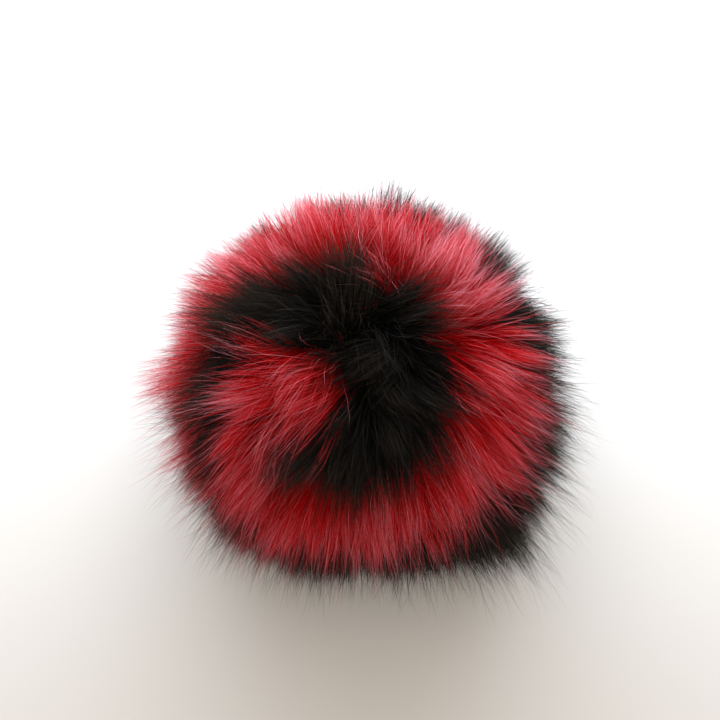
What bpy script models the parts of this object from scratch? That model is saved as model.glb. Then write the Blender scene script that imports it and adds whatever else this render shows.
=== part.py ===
"""A round pom pom of long-haired dyed fur, standing on its gathered base.

A furrier lets a swirl of red pelt into a black one, gathers the disc over a stuffed ball and
draws it shut underneath. Hidden hide and stuffing are one with the fur that grows from them,
so the part is two solids: the black ball with a swirling groove, and the red swirl that fills it.
Dense underfur makes the round body of each, and the long guard hair stands out of it in locks.

The origin is the middle of the base, where the pom pom is gathered and where it is sewn on.
+Z is up through the crown, and -Y is the front, towards which the swirl is turned.
"""

import math
import random

import bmesh
import bpy
import numpy as np
from mathutils import Vector

# ---------------------------------------------------------------- driving sizes, in metres
FUR_WIDTH = 0.144  # across the tips of the locks at the sides
FUR_HEIGHT = 0.124  # from the table to the tips at the crown
BODY_RADIUS = 0.057  # the dense underfur, which fills the ball between the locks
HIDE_RADIUS = 0.028  # where the hide lies and the hair has its roots
PIECE_GAP = 0.0003  # between the red inlay and the black fur round it

CENTRE = Vector((0, 0, FUR_HEIGHT - FUR_WIDTH / 2))
BODY_MERIDIANS = 36
BODY_RINGS = 22
GROOVE_RISE = 0.004  # how far the groove's cutter stands out of the body
FACET_ANGLE = 30  # sharper edges than this stay sharp in shading

# ---------------------------------------------------------------- the swirl, in degrees
# The map is laid over the ball from the crown. A place's distance from the map's middle is its
# angle from the crown, and its direction is its bearing, 0 towards +X and 90 towards +Y.
SWIRL_MIDDLE = Vector((-12, -18))
SWIRL_TURN = 200  # bearing at which the winding angle is 0
SWIRL_START = -60  # winding angle at which the swirl leaves its middle
SWIRL_END = 400
SWIRL_STEP = 10
SWIRL_REACH = 41  # how far out the first turn runs
SWIRL_OPENS_IN = 64  # winding angle over which it opens out
SWIRL_GROWTH = 0.045  # outward drift for each degree of winding
TAIL_FROM = 300  # where the tail starts to dive outwards
TAIL_DIVE = 0.002
ROUND_END = (75, 50, 25)  # angles on the half circle that rounds the inner end
ACROSS = (-1, -0.5, 0, 0.5, 1)  # points across the strip, as shares of its half width

SWIRL_WIDTHS = (  # winding angle, half width
    (-60, 9.0),
    (0, 10.5),
    (40, 12.0),
    (90, 13.5),
    (180, 13.5),
    (270, 15.0),
    (330, 12.0),
    (400, 3.0),
)

# ---------------------------------------------------------------- the locks of guard hair
LOCK_PLACES = 580  # spread evenly over the ball, before the crowded ones are left out
LOWEST_PLACE = 149  # angle from the crown below which the fur is pressed flat
LOCK_GIRTH = 0.0043  # half the diagonal of a lock's square section at its root
LEAST_GIRTH = 0.0021
ROOT_DEPTH = 0.0035  # how far a lock's root is sunk in the underfur
LOCK_BEND = 26  # how much a lock droops from its root to its tip, in degrees
SEAM_REACH = 1.3  # a leaning lock spreads this many girths towards a seam
SEAM_CLEAR = 0.0005
LOCK_CLEAR = 0.0003  # least gap between two locks
LENGTH_SPREAD = 0.10
AIM_SPREAD = 5  # degrees a lock may stray from its bearing
CROWDING_STEPS = 9  # points along a lock that are kept clear of the other locks
GOLDEN_TURN = 180 * (3 - math.sqrt(5))
SEED = 11

LOCK_LAY = (  # angle from the crown, dip below the horizon, length out of the body
    (0, -82, 0.0145),
    (4, -66, 0.0150),
    (8, -52, 0.0160),
    (15, -39, 0.0175),
    (30, -20, 0.0185),
    (60, 12, 0.0182),
    (90, 36, 0.0170),
    (115, 37, 0.0155),
    (135, 23, 0.0120),
    (150, 6, 0.0090),
)
DIP, LENGTH = 1, 2  # columns of that table

FULLNESS = (  # bearing, extra length of the locks there, which is whole at the sides
    (-180, 0.0010),
    (-135, 0.0025),
    (-90, -0.0030),
    (-45, 0.0070),
    (0, -0.0015),
    (45, -0.0035),
    (90, -0.0040),
    (135, -0.0010),
    (180, 0.0010),
)
WHOLE_FROM = 60  # angle from the crown at which that extra length is whole

LOCK_TAPER = (  # share of the length, share of the girth
    (0.0, 1.0),
    (0.35, 0.92),
    (0.72, 0.60),
    (1.0, 0.09),
)

# ---------------------------------------------------------------- finishes
FINISHES = {  # colour, roughness
    "black_fur": ((0.012, 0.011, 0.011), 0.62),
    "red_fur": ((0.42, 0.018, 0.032), 0.60),
}


def between(rows, at, column=1):
    """A table's value in this column at this place in its first column, on straight lines."""
    for low, high in zip(rows, rows[1:]):
        if at <= high[0]:
            share = max(0.0, (at - low[0]) / (high[0] - low[0]))
            return low[column] + share * (high[column] - low[column])
    return rows[-1][column]


# ---------------------------------------------------------------- the map and the ball
def outward(place):
    """Direction from the ball's centre to a place on the map."""
    polar = math.radians(place.length)
    bearing = math.atan2(place.y, place.x)
    level = math.sin(polar)
    return Vector((level * math.cos(bearing), level * math.sin(bearing), math.cos(polar)))


def on_ball(place, radius):
    return CENTRE + radius * outward(place)


# ---------------------------------------------------------------- the swirl on the map
def swirl_centre(winding):
    """Middle of the red strip on the map. It winds anticlockwise as seen from above."""
    run = winding - SWIRL_START
    reach = SWIRL_REACH * (1 - math.exp(-run / SWIRL_OPENS_IN)) + SWIRL_GROWTH * run
    reach += TAIL_DIVE * max(0, winding - TAIL_FROM) ** 2
    bearing = math.radians(SWIRL_TURN + winding)
    return SWIRL_MIDDLE + reach * Vector((math.cos(bearing), math.sin(bearing)))


def swirl_heading(winding):
    return (swirl_centre(winding + 0.5) - swirl_centre(winding - 0.5)).normalized()


def swirl_stations():
    """Sections of the strip from its round inner end to its tail: middle, heading, half width."""
    first = swirl_centre(SWIRL_START)
    heading = swirl_heading(SWIRL_START + 0.5)
    stations = []
    for angle in map(math.radians, ROUND_END):
        width = SWIRL_WIDTHS[0][1]
        middle = first - width * math.sin(angle) * heading
        stations.append((middle, heading, width * math.cos(angle)))
    stations.append((first, heading, SWIRL_WIDTHS[0][1]))
    for winding in range(SWIRL_START + SWIRL_STEP, SWIRL_END + 1, SWIRL_STEP):
        width = between(SWIRL_WIDTHS, winding)
        stations.append((swirl_centre(winding), swirl_heading(winding), width))
    return stations


STATIONS = swirl_stations()
MIDDLES = [swirl_centre(winding) for winding in range(SWIRL_START, SWIRL_END + 1)]
WIDTHS = [between(SWIRL_WIDTHS, winding) for winding in range(SWIRL_START, SWIRL_END + 1)]


def seam_near(place):
    """Degrees on the map from the red strip's edge, below zero on the strip, and the way off it."""
    apart, middle = min(
        ((place - middle).length - width, index)
        for index, (middle, width) in enumerate(zip(MIDDLES, WIDTHS))
    )
    return apart, (place - MIDDLES[middle]).normalized()


def metres_per_degree(place):
    """The shortest way over the body for a degree on the map, where rings are drawn too wide."""
    polar = math.radians(max(place.length, 1))
    return math.radians(BODY_RADIUS) * math.sin(polar) / polar


# ---------------------------------------------------------------- the locks
def settled(place):
    """The place moved off a near seam, if need be, and the girth that a lock may have there."""
    scale = metres_per_degree(place)
    apart, off = seam_near(place)
    least = (SEAM_REACH * LEAST_GIRTH + SEAM_CLEAR) / scale
    if abs(apart) < least:
        place = place + off * (math.copysign(least, apart) - apart)
        apart = seam_near(place)[0]
    room = (abs(apart) * scale - SEAM_CLEAR) / SEAM_REACH
    return place, apart < 0, min(LOCK_GIRTH, room)


def lock_route(place, girth, longer, aside):
    """Points and girths along a lock, which droops as it goes and rests level on the table."""
    out = outward(place)
    bearing = math.atan2(out.y, out.x)
    fuller = between(FULLNESS, math.degrees(bearing)) * min(1, place.length / WHOLE_FROM)
    heading = bearing + math.radians(aside)
    level = Vector((math.cos(heading), math.sin(heading), 0))
    dip = between(LOCK_LAY, place.length, DIP)
    length = between(LOCK_LAY, place.length, LENGTH) * longer + fuller
    point = on_ball(place, BODY_RADIUS)
    route = [(point - ROOT_DEPTH * out, girth)]
    for (start, _), (end, taper) in zip(LOCK_TAPER, LOCK_TAPER[1:]):
        slope = math.radians(dip + LOCK_BEND * ((start + end) / 2 - 0.5))
        step = level * math.cos(slope) + Vector((0, 0, -math.sin(slope)))
        point = point + (end - start) * length * step
        route.append((point, girth * taper))
    return [(Vector((p.x, p.y, max(p.z, wide))), wide) for p, wide in route]


def along(route):
    """Points close together along a lock, with their girths, as one array of four columns."""
    rows = np.array([(*point, girth) for point, girth in route])
    shares = np.array([share for share, _ in LOCK_TAPER])
    steps = np.linspace(0, 1, CROWDING_STEPS)
    return np.stack([np.interp(steps, shares, column) for column in rows.T], 1)


def stands_clear(points, others):
    """Whether a lock keeps its distance from all the locks that are already there."""
    if not others:
        return True
    placed = np.concatenate(others)
    apart = np.linalg.norm(points[:, None, :3] - placed[None, :, :3], axis=2)
    return bool((apart > points[:, None, 3] + placed[None, :, 3] + LOCK_CLEAR).all())


def all_locks():
    """Routes of the red and the black locks, spread over the ball and clear of each other."""
    chance = random.Random(SEED)
    flattest = math.cos(math.radians(LOWEST_PLACE))
    routes = {"red_fur": [], "black_fur": []}
    taken = []
    for index in range(LOCK_PLACES):
        height = 1 - (1 - flattest) * (index + 0.5) / LOCK_PLACES
        polar = math.degrees(math.acos(height))
        bearing = math.radians(index * GOLDEN_TURN)
        place = polar * Vector((math.cos(bearing), math.sin(bearing)))
        longer = 1 + chance.uniform(-LENGTH_SPREAD, LENGTH_SPREAD)
        aside = chance.uniform(-AIM_SPREAD, AIM_SPREAD)
        place, is_red, girth = settled(place)
        route = lock_route(place, girth, longer, aside)
        points = along(route)
        if stands_clear(points, taken):
            taken.append(points)
            routes["red_fur" if is_red else "black_fur"].append(route)
    return routes


# ---------------------------------------------------------------- solids
def collection(name):
    made = bpy.data.collections.new(name)
    bpy.context.scene.collection.children.link(made)
    return made


def linked(name, data, home):
    made = bpy.data.objects.new(name, data)
    home.objects.link(made)
    return made


def from_bmesh(name, built, home):
    mesh = bpy.data.meshes.new(name)
    built.to_mesh(mesh)
    built.free()
    return linked(name, mesh, home)


def ball(name, home):
    """The round body of underfur, with the small flat spot on which it stands."""
    built = bmesh.new()
    bmesh.ops.create_uvsphere(
        built, u_segments=BODY_MERIDIANS, v_segments=BODY_RINGS, radius=BODY_RADIUS
    )
    bmesh.ops.translate(built, verts=built.verts, vec=CENTRE)
    cut = bmesh.ops.bisect_plane(
        built,
        geom=[*built.verts, *built.edges, *built.faces],
        plane_co=(0, 0, 0),
        plane_no=(0, 0, -1),
        clear_outer=True,
    )
    rim = [part for part in cut["geom_cut"] if isinstance(part, bmesh.types.BMEdge)]
    bmesh.ops.contextual_create(built, geom=rim)
    bmesh.ops.recalc_face_normals(built, faces=built.faces)
    return from_bmesh(name, built, home)


def swirl(name, inner, outer, grow, home):
    """The strip as a closed solid between two radii, grown at its sides and ends."""
    built = bmesh.new()
    rings = []
    for index, (middle, heading, width) in enumerate(STATIONS):
        aside = Vector((-heading.y, heading.x))
        onward = (index == len(STATIONS) - 1) - (index == 0)
        ring = []
        for radius, shares in ((outer, ACROSS), (inner, ACROSS[::-1])):
            margin = math.degrees(grow / radius)
            centre = middle + onward * margin * heading
            for share in shares:
                place = centre + share * (width + margin) * aside
                ring.append(built.verts.new(on_ball(place, radius)))
        rings.append(ring)
    for near, far in zip(rings, rings[1:]):
        for index in range(len(near)):
            after = (index + 1) % len(near)
            built.faces.new((near[index], near[after], far[after], far[index]))
    for ring in (rings[0], rings[-1]):
        for index in range(len(ACROSS) - 1):
            across = len(ring) - 1 - index
            built.faces.new((ring[index], ring[index + 1], ring[across - 1], ring[across]))
    bmesh.ops.recalc_face_normals(built, faces=built.faces)
    return from_bmesh(name, built, home)


def locks(name, routes, home):
    """Four-sided tapering locks along their routes, as one mesh."""
    curve = bpy.data.curves.new(name, "CURVE")
    curve.dimensions = "3D"
    curve.bevel_depth = 1
    curve.bevel_resolution = 0
    curve.use_fill_caps = True
    for route in routes:
        line = curve.splines.new("POLY")
        line.points.add(len(route) - 1)
        for point, (where, girth) in zip(line.points, route):
            point.co = (*where, 1)
            point.radius = girth
    guide = linked(name + "_guide", curve, home)
    bpy.context.view_layer.update()
    graph = bpy.context.evaluated_depsgraph_get()
    mesh = bpy.data.meshes.new_from_object(guide.evaluated_get(graph))
    bpy.data.objects.remove(guide)
    built = bmesh.new()
    built.from_mesh(mesh)
    bmesh.ops.remove_doubles(built, verts=built.verts, dist=1e-6)
    built.to_mesh(mesh)
    built.free()
    return linked(name, mesh, home)


def joined(target, tool, operation):
    """A Boolean on the target. The tool stays in the scene as a wire helper."""
    step = target.modifiers.new(operation.lower(), "BOOLEAN")
    step.operation = operation
    step.solver = "EXACT"
    step.object = tool
    tool.hide_render = True
    tool.display_type = "WIRE"


def finish(target, name):
    colour, roughness = FINISHES[name]
    material = bpy.data.materials.new(name)
    material.use_nodes = True
    shader = material.node_tree.nodes["Principled BSDF"]
    shader.inputs["Base Color"].default_value = (*colour, 1)
    shader.inputs["Roughness"].default_value = roughness
    shader.inputs["Metallic"].default_value = 0
    target.data.materials.append(material)
    target.data.shade_smooth()
    target.data.set_sharp_from_angle(angle=math.radians(FACET_ANGLE))


def main():
    for old in list(bpy.data.objects):
        bpy.data.objects.remove(old)
    parts = collection("pom_pom")
    helpers = collection("helpers")
    routes = all_locks()

    black = ball("black_fur", parts)
    groove = swirl(
        "groove", HIDE_RADIUS - PIECE_GAP, BODY_RADIUS + GROOVE_RISE, PIECE_GAP, helpers
    )
    joined(black, groove, "DIFFERENCE")
    joined(black, locks("black_locks", routes["black_fur"], helpers), "UNION")
    finish(black, "black_fur")

    red = swirl("red_fur", HIDE_RADIUS, BODY_RADIUS, 0, parts)
    joined(red, locks("red_locks", routes["red_fur"], helpers), "UNION")
    finish(red, "red_fur")

    for name in routes:
        print(name, len(routes[name]), "locks")


main()
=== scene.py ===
# %% [markdown]
# # A long-haired fur pom pom
#
# A furrier gathers a disc of long-haired pelt over a stuffed ball and draws it shut underneath.
# Here the disc is black, with one swirl of red pelt let into it. Next to the hide is short, dense
# down. Longer hair grows through it and lies in pointed locks, and a few strays stand off.
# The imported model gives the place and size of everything, so this lesson starts by loading it.

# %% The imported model, which every piece is fitted to
import math

import bpy
import numpy as np
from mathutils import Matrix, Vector
from mathutils.kdtree import KDTree


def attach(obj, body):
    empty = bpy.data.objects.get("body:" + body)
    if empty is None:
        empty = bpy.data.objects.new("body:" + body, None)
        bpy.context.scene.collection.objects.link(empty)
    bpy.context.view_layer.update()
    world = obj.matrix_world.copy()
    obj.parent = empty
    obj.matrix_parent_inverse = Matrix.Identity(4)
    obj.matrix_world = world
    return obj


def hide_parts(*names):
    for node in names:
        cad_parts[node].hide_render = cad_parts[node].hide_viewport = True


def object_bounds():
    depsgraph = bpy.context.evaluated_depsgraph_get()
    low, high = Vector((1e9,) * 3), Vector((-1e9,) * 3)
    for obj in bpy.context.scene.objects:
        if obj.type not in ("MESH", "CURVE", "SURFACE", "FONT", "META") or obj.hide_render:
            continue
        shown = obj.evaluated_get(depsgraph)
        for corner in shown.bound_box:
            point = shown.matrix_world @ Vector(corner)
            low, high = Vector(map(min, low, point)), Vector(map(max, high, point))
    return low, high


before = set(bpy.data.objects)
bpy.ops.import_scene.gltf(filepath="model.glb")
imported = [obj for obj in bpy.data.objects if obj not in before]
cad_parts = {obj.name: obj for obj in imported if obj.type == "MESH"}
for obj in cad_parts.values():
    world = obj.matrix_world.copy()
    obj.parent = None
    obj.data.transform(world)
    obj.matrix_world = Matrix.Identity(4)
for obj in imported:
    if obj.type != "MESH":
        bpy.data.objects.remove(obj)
cad_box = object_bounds()
print("CAD nodes:", list(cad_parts))
print("CAD box in mm:", [[round(v * 1000, 1) for v in corner] for corner in cad_box])

# %% The ball's own sizes, in metres
CENTRE = Vector((0, 0, 0.052))  # of the ball, above the middle of its flat base
BODY_RADIUS = 0.0510  # the densest underfur, below which no light gets
ROOT_RADIUS = 0.0480  # hair is built from here outwards, where it can be seen
FLOOR_CLEAR = 0.0002  # no hair's route comes closer to the table than this

# %% [markdown]
# ## The swirl
#
# The red pelt is one strip that winds out from the crown. It is easiest to draw on a flat map
# laid over the ball from the crown: the distance from the map's middle is the angle from the
# crown, and the direction stays as it is. A hair is red if it comes out of the underfur on the
# strip.

# %% Where the red strip runs, in degrees on the map
SWIRL_MIDDLE = np.array((-12, -18))
SWIRL_TURN = 200  # bearing at which the winding angle is 0
SWIRL_START, SWIRL_END = -60, 400  # winding angles at the strip's two ends
SWIRL_REACH = 41  # how far from its middle the strip opens
SWIRL_OPENS_IN = 64  # winding angle in which it opens most of the way
SWIRL_GROWTH = 0.045  # how much further out it runs for each degree of winding
TAIL_FROM, TAIL_DIVE = 300, 0.002  # where the tail turns down the side, and how fast
SWIRL_WIDTHS = (  # winding angle, half width
    (-60, 9.0),
    (0, 10.5),
    (40, 12.0),
    (90, 13.5),
    (180, 13.5),
    (270, 15.0),
    (330, 12.0),
    (400, 3.0),
)

winding = np.arange(SWIRL_START, SWIRL_END + 1)
run = winding - SWIRL_START
reach = SWIRL_REACH * (1 - np.exp(-run / SWIRL_OPENS_IN)) + SWIRL_GROWTH * run
reach += TAIL_DIVE * np.maximum(0, winding - TAIL_FROM) ** 2
turn = np.radians(SWIRL_TURN + winding)
strip = SWIRL_MIDDLE + reach[:, None] * np.stack([np.cos(turn), np.sin(turn)], 1)
half_width = np.interp(winding, *zip(*SWIRL_WIDTHS))
print("the red strip's middle line has", len(strip), "points")


# %% Angles on the ball, and how deep a place on the map lies in the strip
def angles_of(offsets):
    """Angles from the crown and bearings, in degrees, of places measured from the ball's middle."""
    polar = np.degrees(np.arccos(offsets[:, 2] / np.linalg.norm(offsets, axis=1)))
    return polar, np.degrees(np.arctan2(offsets[:, 1], offsets[:, 0]))


def strip_depth(polar, bearing):
    """Degrees inside the red strip's edge, below zero outside it. Both angles are in degrees."""
    turn = np.radians(bearing)
    place = polar[:, None] * np.stack([np.cos(turn), np.sin(turn)], 1)
    depth = np.full(len(place), -np.inf)
    for middle, half in zip(strip, half_width):
        depth = np.maximum(depth, half - np.linalg.norm(place - middle, axis=1))
    return depth


# %% [markdown]
# ## How the fur lies
#
# Hair grows out of the hide at a slant and bends further as it gets longer. At the crown it
# stands up in a whorl. From there it leans away from the crown more and more, and next to the
# table it is pressed level. A short table of dips and lengths holds that. A second table makes
# the hair longer or shorter on some sides, because such a ball is never quite round. Every hair
# reads both.

# %% The comb: how a hair dips and how long it is, by its root's angle from the whorl
COMB = (  # angle from the whorl, dip below the horizon in degrees, length in metres
    (0, -82, 0.0250),
    (4, -66, 0.0255),
    (8, -52, 0.0260),
    (15, -39, 0.0270),
    (30, -20, 0.0290),
    (60, 12, 0.0300),
    (90, 36, 0.0290),
    (115, 37, 0.0250),
    (135, 23, 0.0220),
    (150, 6, 0.0170),
    (170, 0, 0.0140),
)
FULLNESS = (  # bearing in degrees, extra length of the hair there in metres
    (-165, -0.0015),
    (-135, 0.0040),
    (-90, -0.0060),
    (-70, -0.0030),
    (-45, 0.0090),
    (-25, 0.0040),
    (0, -0.0012),
    (45, -0.0060),
    (90, -0.0085),
    (150, -0.0045),
    (180, 0.0022),
)
WHOLE_FROM = 90  # angle from the crown at which that extra length is whole
WHORL = (1, 4)  # where the hair parts, in degrees on the map, just behind the crown
HAIR_DROOP = 26  # how much further a hair dips at its tip than at its root


def combed(polar, bearing, segments, longer, lower, aside, curl, whorl_x, whorl_y):
    """Hair routes from root to tip, as an array of hairs by points by three.

    longer scales the length. lower and aside turn the whole hair, and curl turns its tip.
    whorl_x and whorl_y move the place from which it is combed.
    """
    turn = np.radians(bearing)
    x = polar * np.cos(turn) - WHORL[0] - whorl_x
    y = polar * np.sin(turn) - WHORL[1] - whorl_y
    angle, heading = np.hypot(x, y), np.degrees(np.arctan2(y, x))
    angles, dips, lengths = zip(*COMB)
    dip = np.interp(angle, angles, dips) + lower
    fuller = np.interp(bearing, *zip(*FULLNESS), period=360)
    length = np.interp(angle, angles, lengths) + fuller * np.minimum(1, polar / WHOLE_FROM)
    length *= longer
    share = (np.arange(segments) + 0.5) / segments
    slope = np.radians(dip[:, None] + HAIR_DROOP * (share - 0.5))
    heading = np.radians((heading + aside)[:, None] + curl[:, None] * share)
    step = np.stack(
        [np.cos(slope) * np.cos(heading), np.cos(slope) * np.sin(heading), -np.sin(slope)], 2
    )
    step *= (length / segments)[:, None, None]
    root = np.array(CENTRE) + ROOT_RADIUS * outward(polar, bearing)
    points = np.concatenate([root[:, None], root[:, None] + step.cumsum(1)], 1)
    points[:, :, 2] = np.maximum(points[:, :, 2], FLOOR_CLEAR)
    return points


# %% [markdown]
# ## Locks
#
# Hairs don't lie one by one. About twenty stick together into a tuft with one point, and nearly
# as many tufts lean together into a lock. So each hair is first combed by itself, and then drawn
# towards the middle of its tuft and its lock, more so towards its tip.
#
# Both tufts and hairs need places all over the ball. A golden turn from each place to the next
# spreads them evenly, as it does the seeds of a sunflower, and a little shaking hides the pattern.

# %% Even places over the ball
LOWEST_ROOT = 166  # angle from the crown of the last hair, in degrees
SHAKEN = 0.8  # how far a bearing strays from its even place, in degrees
SEED = 7  # one seed, so that every run grows the same hair
chance = np.random.default_rng(SEED)


def even_places(count):
    """Angles from the crown and bearings, in degrees, spread evenly and then shaken a little."""
    steps = np.arange(count) + chance.uniform(-0.5, 0.5, count)
    share = np.clip(steps + 0.5, 0, count) / count
    polar = np.degrees(np.arccos(1 - share * (1 - math.cos(math.radians(LOWEST_ROOT)))))
    golden_turn = 180 * (3 - math.sqrt(5))
    return polar, np.arange(count) * golden_turn + chance.normal(0, SHAKEN, count)


def outward(polar, bearing):
    """Directions from the ball's middle, of length one. Both angles are in degrees."""
    polar, bearing = np.radians(polar), np.radians(bearing)
    level = np.sin(polar)
    return np.stack([level * np.cos(bearing), level * np.sin(bearing), np.cos(polar)], -1)


# %% Tufts: places that hairs are drawn to, each with a lay of its own
def tufts(count, spread):
    """Places over the ball, and how each one's hair differs, in the order that combed takes."""
    polar, bearing = even_places(count)
    draws = [chance.normal(0, scale, count) for scale in spread]
    tree = KDTree(count)
    for index, way in enumerate(outward(polar, bearing)):
        tree.insert(way, index)
    tree.balance()
    tone = chance.normal(size=count)
    return {"polar": polar, "bearing": bearing, "draws": draws, "tree": tree, "tone": tone}


def nearest(group, ways):
    """The number of the tuft or lock that is closest to each direction."""
    return np.array([group["tree"].find(way)[1] for way in ways])


LOCKS = tufts(440, (0.09, 4, 6, 14, 7, 7))
TUFTS = tufts(7500, (0.09, 5, 6, 8, 3, 3))
print("fur lies in", len(LOCKS["polar"]), "locks and", len(TUFTS["polar"]), "tufts")

# A tuft lies as its lock does, but for a little difference of its own.
lock_of_tuft = nearest(LOCKS, outward(TUFTS["polar"], TUFTS["bearing"]))
LAY_OF_LOCKS = LOCKS["draws"]
LAY_OF_TUFTS = [own + lock[lock_of_tuft] for own, lock in zip(TUFTS["draws"], LAY_OF_LOCKS)]


# %% Hairs drawn together
def drawn(points, group, member, lay, strength, power):
    """The routes drawn towards the middle line of their tuft, more so towards their tips."""
    segments = points.shape[1] - 1
    middles = combed(group["polar"], group["bearing"], segments, 1 + lay[0], *lay[1:])
    pull = strength * np.linspace(0, 1, segments + 1) ** power
    return points + pull[:, None] * (middles[member] - points)


def scaled(lay, longer):
    """The same lay for a kind of hair that is longer or shorter than the comb says."""
    return [longer * (1 + lay[0]) - 1, *lay[1:]]


# %% [markdown]
# ## A hair as a ribbon
#
# A real hair is a round thread less than a tenth of a millimetre thick, and a pelt has far more
# of them than a mesh can hold. So each hair here is a flat ribbon that ends in a point. A guard
# hair is two or three times as wide as a real one, and down is wider still, to close the gaps.
# Turned at random about its own line, each ribbon catches the light in its own way.
#
# All the hairs of a piece are one mesh, built from arrays, because an object for each of them
# would take hours. The ribbons' map runs from root to tip one way, and from dark to pale hairs
# the other way.

# %% The corners of every ribbon
RIBBON_TURN = 0.45  # how far ribbons turn at random from facing outwards
RIBBON_TAPER = 2.2  # the higher, the later along its length a ribbon narrows
TINY = 1e-12  # keeps a length of zero from being divided by


def ribbon_corners(points, widths):
    """Two corners at each point of a hair's route, and one at its tip."""
    count, rows = points.shape[:2]
    along = np.gradient(points, axis=1)
    along /= np.linalg.norm(along, axis=2, keepdims=True) + TINY
    facing = points - np.array(CENTRE)
    facing /= np.linalg.norm(facing, axis=2, keepdims=True)
    side = np.cross(along, facing + RIBBON_TURN * chance.normal(size=(count, 1, 3)))
    side /= np.linalg.norm(side, axis=2, keepdims=True) + TINY
    taper = 1 - np.linspace(0, 1, rows) ** RIBBON_TAPER
    half = 0.5 * widths[:, None, None] * taper[None, :, None] * side
    pairs = np.stack([points - half, points + half], 2)[:, :-1].reshape(count, -1, 3)
    corners = np.concatenate([pairs, points[:, -1:]], 1)
    corners[:, :, 2] = np.maximum(corners[:, :, 2], FLOOR_CLEAR / 2)
    return corners


# %% One mesh of many pieces that have the same faces
def repeated(name, corners, order, sizes):
    """corners is pieces by corners by three. order and sizes give one piece's faces."""
    count, per_piece = corners.shape[:2]
    vertex = (np.arange(count)[:, None] * per_piece + order).ravel()
    starts = np.concatenate([[0], sizes.cumsum()[:-1]])
    starts = (np.arange(count)[:, None] * len(order) + starts).ravel()
    mesh = bpy.data.meshes.new(name)
    mesh.vertices.add(count * per_piece)
    mesh.vertices.foreach_set("co", corners.astype(np.float32).ravel())
    mesh.loops.add(len(vertex))
    mesh.loops.foreach_set("vertex_index", vertex.astype(np.int32))
    mesh.polygons.add(len(starts))
    mesh.polygons.foreach_set("loop_start", starts.astype(np.int32))
    mesh.update(calc_edges=True)
    mesh.shade_smooth()
    return mesh


# %% Ribbons along all the routes, joined in one mesh
HAIR_MAP = "OFBake"
RIBBON_ON_MAP = 0.002  # half of a ribbon's width on the map


def ribbons(name, points, widths, tones):
    """One mesh of pointed ribbons, with a map whose U is the hair's tone and V runs to its tip."""
    segments = points.shape[1] - 1
    tip = 2 * segments
    quads = np.array([(2 * k, 2 * k + 1, 2 * k + 3, 2 * k + 2) for k in range(segments - 1)])
    order = np.concatenate([quads.ravel(), np.array((tip - 2, tip - 1, tip))])
    sizes = np.array([4] * (segments - 1) + [3])
    mesh = repeated(name, ribbon_corners(points, widths), order, sizes)

    side = np.where(order == tip, 0, order % 2 * 2 - 1)
    across = tones[:, None] + side * RIBBON_ON_MAP
    upward = np.broadcast_to(order // 2 / segments, across.shape)
    layer = mesh.uv_layers.new(name=HAIR_MAP)
    layer.uv.foreach_set("vector", np.stack([across, upward], 2).astype(np.float32).ravel())
    made = bpy.data.objects.new(name, mesh)
    bpy.context.collection.objects.link(made)
    return made


# %% [markdown]
# ## Finishes
#
# Both pelts are dyed, each in one colour. It is painted deeper at the roots, as painted shade where
# little light gets, and paler at the tips, partly from wear and partly as a painted sheen. The tips
# are also thin enough to let light through, so fur glows along its edge when the light is behind
# it.
# The ribbons' map gives all of it: V goes up the hair, and U says how pale this hair is.


# %% A small helper, so that shader maths reads as maths
class Socket:
    """A socket of a node, with the operators that add Math nodes."""

    def __init__(self, tree, socket):
        self.tree, self.socket = tree, socket

    def maths(self, operation, other, swap=False):
        node = self.tree.nodes.new("ShaderNodeMath")
        node.operation = operation
        for pin, value in zip(node.inputs, (other, self) if swap else (self, other)):
            if isinstance(value, Socket):
                self.tree.links.new(value.socket, pin)
            else:
                pin.default_value = value
        return Socket(self.tree, node.outputs[0])

    def __add__(self, other):
        return self.maths("ADD", other)

    def __sub__(self, other):
        return self.maths("SUBTRACT", other)

    def __rsub__(self, other):
        return self.maths("SUBTRACT", other, swap=True)

    def __mul__(self, other):
        return self.maths("MULTIPLY", other)

    def __pow__(self, other):
        return self.maths("POWER", other)

    __radd__, __rmul__ = __add__, __mul__


# %% A material under construction
GLOSS = 0.02  # specular level. Fur, underfur and floor are all matt


class Finish:
    """A material under construction, with one method that adds any node."""

    def __init__(self, name, roughness):
        self.material = bpy.data.materials.new(name)
        self.material.use_nodes = True
        self.tree = self.material.node_tree
        self.shader = self.tree.nodes["Principled BSDF"]
        self.shader.inputs["Roughness"].default_value = roughness
        self.shader.inputs["Specular IOR Level"].default_value = GLOSS

    def node(self, kind, output=0, settings=None, **sockets):
        """A node's output. settings are its own properties, and sockets are values or links.

        A socket goes by its name, or by its number after a letter, as in i0.
        """
        made = self.tree.nodes.new("ShaderNode" + kind)
        for key, value in (settings or {}).items():
            setattr(made, key, value)
        for key, value in sockets.items():
            pin = made.inputs[int(key[1:])] if key[1:].isdigit() else made.inputs[key]
            if isinstance(value, Socket):
                self.tree.links.new(value.socket, pin)
            else:
                pin.default_value = value
        return Socket(self.tree, made.outputs[output])

    def mixed(self, share, low, high):
        """A colour that goes from low to high.

        On a Mix node for colours, input 0 is the share, 6 and 7 the colours, and output 2 the mix.
        """
        settings = {"data_type": "RGBA", "clamp_factor": True}
        return self.node("Mix", 2, settings, i0=share, i6=low, i7=high)

    def feed(self, socket, value):
        self.tree.links.new(value.socket, self.shader.inputs[socket])

    def lets_light_through(self, share, colour):
        """This share of the light that falls on one side comes out of the other, in this colour."""
        shining = self.node("BsdfTranslucent", Color=(*colour, 1))
        surface = Socket(self.tree, self.shader.outputs[0])
        both = self.node("MixShader", i0=share, i1=surface, i2=shining)
        output = self.tree.nodes["Material Output"]
        self.tree.links.new(both.socket, output.inputs["Surface"])
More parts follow.
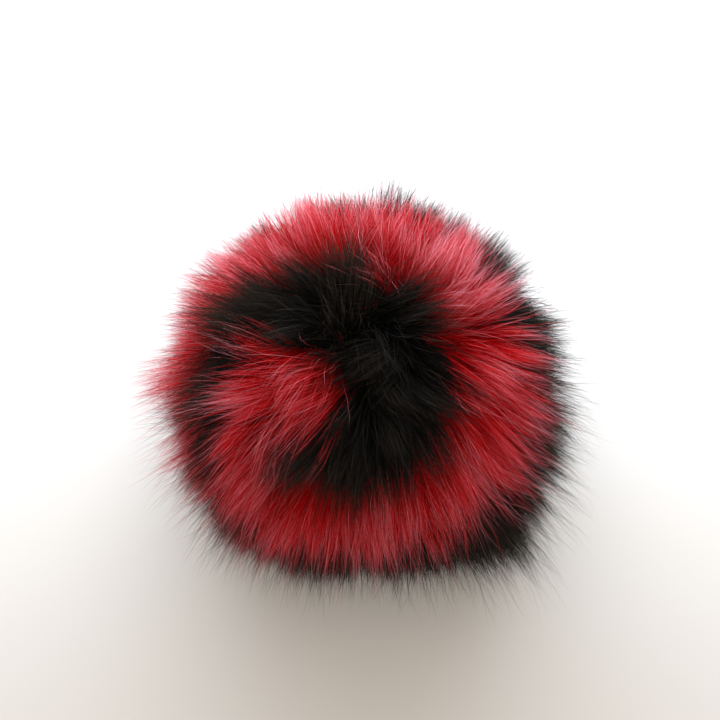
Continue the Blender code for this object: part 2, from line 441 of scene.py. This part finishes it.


# %% Hair: colours up the hair, with painted shade at the root and painted sheen at the tip,
# how pale each hair is, and the light that its thin end lets through
def hair_finish(name, root, middle, tip, pale_and_sheen, shining, roughness):
    """A dyed hair, with painted shade at its root and partly a painted sheen at its tip.
    shining is the colour of the light through it.
    """
    finish = Finish(name, roughness)
    place = finish.node("UVMap", settings={"uv_map": HAIR_MAP})
    tone = finish.node("SeparateXYZ", 0, i0=place)
    height = finish.node("SeparateXYZ", 1, i0=place)
    # Up from the painted root shade, a pale hair has its middle colour from halfway up, and a dark
    # one only at its tip.
    lower = finish.mixed(height * (1.0 + tone), (*root, 1), (*middle, 1))
    # Hairs of tone 0.5 and more turn to the tip's colour, and those of 0.65 and more to the pale
    # one.
    # Both colours are partly worn dye and partly a painted sheen.
    colour = finish.mixed(height**5.0 * (4.0 * tone - 2.0), lower, (*tip, 1))
    colour = finish.mixed(height**4.0 * (4.0 * tone - 2.6), colour, (*pale_and_sheen, 1))
    finish.feed("Base Color", colour)
    # Light comes through hairs of tone 0.32 and more, and most of all at their tips.
    finish.lets_light_through(height**4.0 * (3.0 * tone - 0.95), shining)
    return finish.material


RED_HAIR = hair_finish(
    "red_hair",
    # painted shade: the root colour is much darker than the middle, for the shade deep in the fur
    root=(0.17, 0.001, 0.001),
    middle=(0.47, 0.001, 0.002),
    # the tip and pale colours are partly worn dye and partly a painted sheen
    tip=(0.80, 0.15, 0.21),
    pale_and_sheen=(0.95, 0.42, 0.50),
    shining=(0.95, 0.42, 0.52),
    roughness=0.5,
)
BLACK_HAIR = hair_finish(
    "black_hair",
    # painted shade: the root colour is darker than the middle, for the shade deep in the fur
    root=(0.004, 0.004, 0.004),
    middle=(0.009, 0.0085, 0.008),
    # painted sheen: the brownish grey tip and pale colours stand for the sheen of black fur at its
    # rim
    tip=(0.052, 0.041, 0.032),
    pale_and_sheen=(0.17, 0.14, 0.11),
    shining=(0.045, 0.034, 0.024),
    roughness=0.42,
)

# %% Underfur: a deep colour, partly painted shade, that is lighter in patches
PATCHES = 220.0  # how many patches fit in a metre
UNDERFUR_ROUGHNESS = 0.9


def underfur_finish(name, deep, light):
    """The ground between the hairs, from a deep colour to a lighter one, partly painted shade."""
    finish = Finish(name, UNDERFUR_ROUGHNESS)
    place = finish.node("TexCoord", 3)  # output 3 is Object
    patches = finish.node("TexNoise", i0=place, Scale=PATCHES, Detail=4.0)
    finish.feed("Base Color", finish.mixed(patches, (*deep, 1), (*light, 1)))
    return finish.material


# painted shade: both underfurs are darker than their hair roots, for the shade deep between the
# hairs
RED_UNDERFUR = underfur_finish("red_underfur", (0.08, 0.001, 0.003), (0.20, 0.003, 0.008))
BLACK_UNDERFUR = underfur_finish("black_underfur", (0.001, 0.001, 0.001), (0.004, 0.003, 0.003))

# %% [markdown]
# ## The body of underfur
#
# Under the guard hair lies a dense, round body, which only shows as a deep ground between the
# hairs, coloured darker than the hair, partly as painted shade. It is a ball, cut flat where it
# stands. The faces on the swirl are parted from it, so the red and the black body fit edge to edge.

# %% The ball, cut flat below
BASE_CUT = 0.0008  # the body stands on pressed hair of this thickness


def model_body():
    """The ball in one piece, with the flat spot that it stands on."""
    bpy.ops.object.select_all(action="DESELECT")
    bpy.ops.mesh.primitive_uv_sphere_add(
        segments=144, ring_count=96, radius=BODY_RADIUS, location=CENTRE
    )
    body = bpy.context.object
    body.name = body.data.name = "black_underfur"
    bpy.ops.object.transform_apply(location=True)
    bpy.ops.object.mode_set(mode="EDIT")
    bpy.ops.mesh.select_all(action="SELECT")
    bpy.ops.mesh.bisect(
        plane_co=(0, 0, BASE_CUT), plane_no=(0, 0, -1), clear_outer=True, use_fill=True
    )
    bpy.ops.object.mode_set(mode="OBJECT")
    return body


black_body = model_body()

# %% The red part of it, parted along the strip's edge
faces = black_body.data.polygons
middles = np.array([face.center for face in faces]) - np.array(CENTRE)
on_strip = strip_depth(*angles_of(middles)) > 0
bpy.ops.object.mode_set(mode="EDIT")
bpy.ops.mesh.select_all(action="DESELECT")
bpy.ops.object.mode_set(mode="OBJECT")
faces.foreach_set("select", on_strip)
bpy.ops.object.mode_set(mode="EDIT")
bpy.ops.mesh.separate(type="SELECTED")
bpy.ops.object.mode_set(mode="OBJECT")
red_body = next(o for o in bpy.context.selected_objects if o != black_body)
red_body.name = red_body.data.name = "red_underfur"


# %% Every piece stands for one of the two CAD nodes, whose material slot has the same name
def dress(piece, material, slot):
    """A piece gets its finish, rides on the one body, and hides the plain solid it stands for."""
    piece.data.materials.clear()
    piece.data.materials.append(material)
    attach(piece, "root")
    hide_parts(slot)


dress(black_body, BLACK_UNDERFUR, "black_fur")
dress(red_body, RED_UNDERFUR, "red_fur")
for body in (black_body, red_body):
    body.data.shade_smooth()
    print(body.name, "has", len(body.data.polygons), "faces")

# %% [markdown]
# ## Growing the hair
#
# One kind of hair is grown over the whole ball at once, and only then parted into red and black.
# Next to the seam the two colours mix a little, as hairs from one pelt fall over the other.
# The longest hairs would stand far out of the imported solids, so those are made shorter.

# %% Which hairs are red, and how far they may reach
LEAVES_AT = 0.10  # share of its length at which a hair comes out of the dense underfur
SEAM_BLUR = 0.8  # degrees that a hair may stray over the seam there
BLACK_SPREADS = 0.8  # degrees that the black hair spreads over the red at the seam
STANDS_PROUD = 0.0125  # how far the longest hairs reach out of the CAD box
LEAST_REACH = 1e-9  # keeps a reach of zero from being divided by


def depth_at_exit(points):
    """Degrees inside the red strip's edge at which each hair comes out of the underfur."""
    leaving = points[:, 0] + LEAVES_AT * (points[:, -1] - points[:, 0])
    return strip_depth(*angles_of(leaving - np.array(CENTRE)))


def shortened(points):
    """The routes, with each one that would reach too far made smaller about its root."""
    low, high = np.array(cad_box)
    root = points[:, :1]
    away = points[:, 1:] - root
    room = np.where(away > 0, high + STANDS_PROUD - root, root - low + STANDS_PROUD)
    room /= np.abs(away) + LEAST_REACH
    return root + np.minimum(1, room.min(axis=(1, 2)))[:, None, None] * (points - root)


# %% Hair of one kind over the whole ball
LOCK_BORDER = 0.012  # how ragged the borders between locks are, where the ball's radius is 1
TUFT_BORDER = 0.006  # the same between tufts
LOCK_PULL_POWER = 1.8  # the higher, the nearer to the tip a hair bends towards its lock
TUFT_PULL_POWER = 1.5  # the same towards its tuft
OWN_TONE = 0.16  # how much the hairs of a tuft differ in tone
TUFT_TONE = 0.08  # how much the tufts of a lock differ
LOCK_TONE = 0.05  # how much the locks differ
TONE_RANGE = (0.01, 0.99)  # keeps the ribbons inside their map


def grown(kind):
    """Routes of one kind of hair in its tufts and locks, which hairs are red, and their tones."""
    count, segments, longer = kind["count"], kind["segments"], kind["longer"]
    polar, bearing = even_places(count)
    ways = outward(polar, bearing)
    lock = nearest(LOCKS, ways + chance.normal(0, LOCK_BORDER, ways.shape))
    tuft = nearest(TUFTS, ways + chance.normal(0, TUFT_BORDER, ways.shape))
    own = [chance.normal(0, scale, count) for scale in kind["spread"]]
    lay = [a[lock] + b[tuft] + c for a, b, c in zip(LOCKS["draws"], TUFTS["draws"], own)]
    points = combed(polar, bearing, segments, longer * (1 + lay[0]), *lay[1:])
    depth = depth_at_exit(points)

    lock_pull, tuft_pull = kind["pulls"]
    tuft_lay, lock_lay = scaled(LAY_OF_TUFTS, longer), scaled(LAY_OF_LOCKS, longer)
    points = drawn(points, TUFTS, tuft, tuft_lay, tuft_pull, TUFT_PULL_POWER)
    points = drawn(points, LOCKS, lock, lock_lay, lock_pull, LOCK_PULL_POWER)
    tone = kind["tone"] + OWN_TONE * chance.normal(size=count)
    tone += TUFT_TONE * TUFTS["tone"][tuft] + LOCK_TONE * LOCKS["tone"][lock]
    is_red = depth + chance.normal(0, SEAM_BLUR, count) > BLACK_SPREADS
    return shortened(points), is_red, np.clip(tone, *TONE_RANGE)


# %% Pieces of red and of black hair
PELTS = (("red", RED_HAIR, "red_fur"), ("black", BLACK_HAIR, "black_fur"))


def plant(name, kind):
    """Ribbons for the hair of one kind, parted by colour and then into even pieces."""
    points, is_red, tone = grown(kind)
    widths = chance.uniform(*kind["widths"], len(points))
    for colour, material, slot in PELTS:
        chosen = np.flatnonzero(is_red if colour == "red" else ~is_red)
        for number, part in enumerate(np.array_split(chosen, kind["pieces"][colour]), 1):
            label = f"{colour}_{name}_{number}"
            piece = ribbons(label, points[part], widths[part], tone[part])
            dress(piece, material, slot)
            print(label, len(part), "hairs")


# %% [markdown]
# ## Five kinds of hair
#
# Down is the short, woolly hair next to the hide. Awn hair is of middle length and covers it. The
# long guard hairs stick together in fine points. Some awn hairs grow as long as these and are the
# palest of all, and a few strays stand off on their own.
#
# One kind of hair for the whole ball would look like a brush. What sets the kinds apart is how
# long, how wide and how pale they are, and how strongly they keep to their tuft.

# %% How many hairs of each kind, and how they are cut and combed
# longer is times the comb's length, and spread is how much single hairs differ, in the order that
# combed takes. The pulls are towards the lock and the tuft, and the widths are in metres. A tone
# of 0 is the darkest hair, and 1 the palest. Guard hair is split in two, because the black one
# would have more than 200,000 triangles as a single piece.
HAIR_KINDS = {
    "down": {
        "count": 44000, "segments": 2, "longer": 0.60, "spread": (0.14, 10, 14, 15, 2, 2),
        "pulls": (0.1, 0.3), "widths": (0.00022, 0.00040), "tone": 0.30,
        "pieces": {"red": 1, "black": 1},
    },
    "awn_hair": {
        "count": 42000, "segments": 3, "longer": 0.82, "spread": (0.14, 5, 7, 9, 2, 2),
        "pulls": (0.35, 0.5), "widths": (0.00014, 0.00028), "tone": 0.36,
        "pieces": {"red": 1, "black": 1},
    },
    "guard_hair": {
        "count": 57000, "segments": 4, "longer": 1.00, "spread": (0.20, 4, 5, 8, 2, 2),
        "pulls": (0.45, 0.85), "widths": (0.00010, 0.00020), "tone": 0.47,
        "pieces": {"red": 2, "black": 2},
    },
    "long_awn": {
        "count": 9500, "segments": 4, "longer": 1.08, "spread": (0.14, 5, 7, 7, 2, 2),
        "pulls": (0.4, 0.55), "widths": (0.00014, 0.00023), "tone": 0.92,
        "pieces": {"red": 1, "black": 1},
    },
    "stray_hair": {
        "count": 15500, "segments": 5, "longer": 1.29, "spread": (0.17, 8, 13, 32, 3, 3),
        "pulls": (0.2, 0.4), "widths": (0.00009, 0.00015), "tone": 0.66,
        "pieces": {"red": 1, "black": 1},
    },
}
for hair_name, hair_kind in HAIR_KINDS.items():
    plant(hair_name, hair_kind)

# %% [markdown]
# ## Floor, light and camera
#
# Fur looks deep when most of the light comes from above and behind: the tips glow, and the roots
# stay dark. Both lights are wide, because a small one would draw a hard shadow of every hair.

# %% A pale floor
FLOOR_COLOUR = (0.605, 0.60, 0.597, 1)
bpy.ops.mesh.primitive_plane_add(size=6)
floor = bpy.context.object
floor.name = "floor"
paint = Finish("floor_paint", roughness=0.6)
paint.shader.inputs["Base Color"].default_value = FLOOR_COLOUR
floor.data.materials.append(paint.material)


# %% A cool window above the floor behind, a pale wall further back, and warm light all round
def softbox(name, place, aim, size, watts, colour):
    """A wide, flat light at a place, turned to its aim. Both and its size are in metres."""
    light = bpy.data.lights.new(name, "AREA")
    light.shape = "RECTANGLE"
    light.size, light.size_y = size
    light.energy = watts
    light.color = colour
    made = bpy.data.objects.new(name, light)
    made.location = place
    made.rotation_euler = (Vector(aim) - Vector(place)).to_track_quat("-Z", "Y").to_euler()
    bpy.context.collection.objects.link(made)


softbox(
    "window",
    place=(0.0, 0.25, 0.25),
    aim=(0, 0.235, 0),
    size=(0.62, 0.25),
    watts=2.75,
    colour=(0.78, 0.88, 1.0),
)
softbox(
    "pale_wall",
    place=(0.0, 0.42, 0.12),
    aim=(0, 0, 0.08),
    size=(0.60, 0.20),
    watts=3.4,
    colour=(1.0, 1.0, 1.0),
)
ROOM_COLOUR = (1.0, 0.905, 0.79, 1)
ROOM_STRENGTH = 1.03
world = bpy.data.worlds.new("room")
world.use_nodes = True
world.node_tree.nodes["Background"].inputs["Color"].default_value = ROOM_COLOUR
world.node_tree.nodes["Background"].inputs["Strength"].default_value = ROOM_STRENGTH
bpy.context.scene.world = world

# %% The camera, looking steeply down from the front
ELEVATION = 69  # degrees above the table
DISTANCE = 0.62  # metres from the point that the camera looks at
FRAME_WIDTH = 0.252  # metres across the picture at the ball
AIM_RISE = 0.0095  # the ball sits this far below the picture's middle
AIM_LEFT = 0.0018  # and this far to the right of it
camera_data = bpy.data.cameras.new("camera")
camera_data.lens = camera_data.sensor_width * DISTANCE / FRAME_WIDTH
camera = bpy.data.objects.new("camera", camera_data)
tilt = math.radians(ELEVATION)
back = Vector((0, -math.cos(tilt), math.sin(tilt)))
up = Vector((0, math.sin(tilt), math.cos(tilt)))
aim = CENTRE + AIM_RISE * up - AIM_LEFT * Vector((1, 0, 0))
camera.location = aim + DISTANCE * back
camera.rotation_euler = (-back).to_track_quat("-Z", "Y").to_euler()
bpy.context.collection.objects.link(camera)
bpy.context.scene.camera = camera
bpy.context.scene.view_settings.view_transform = "Standard"
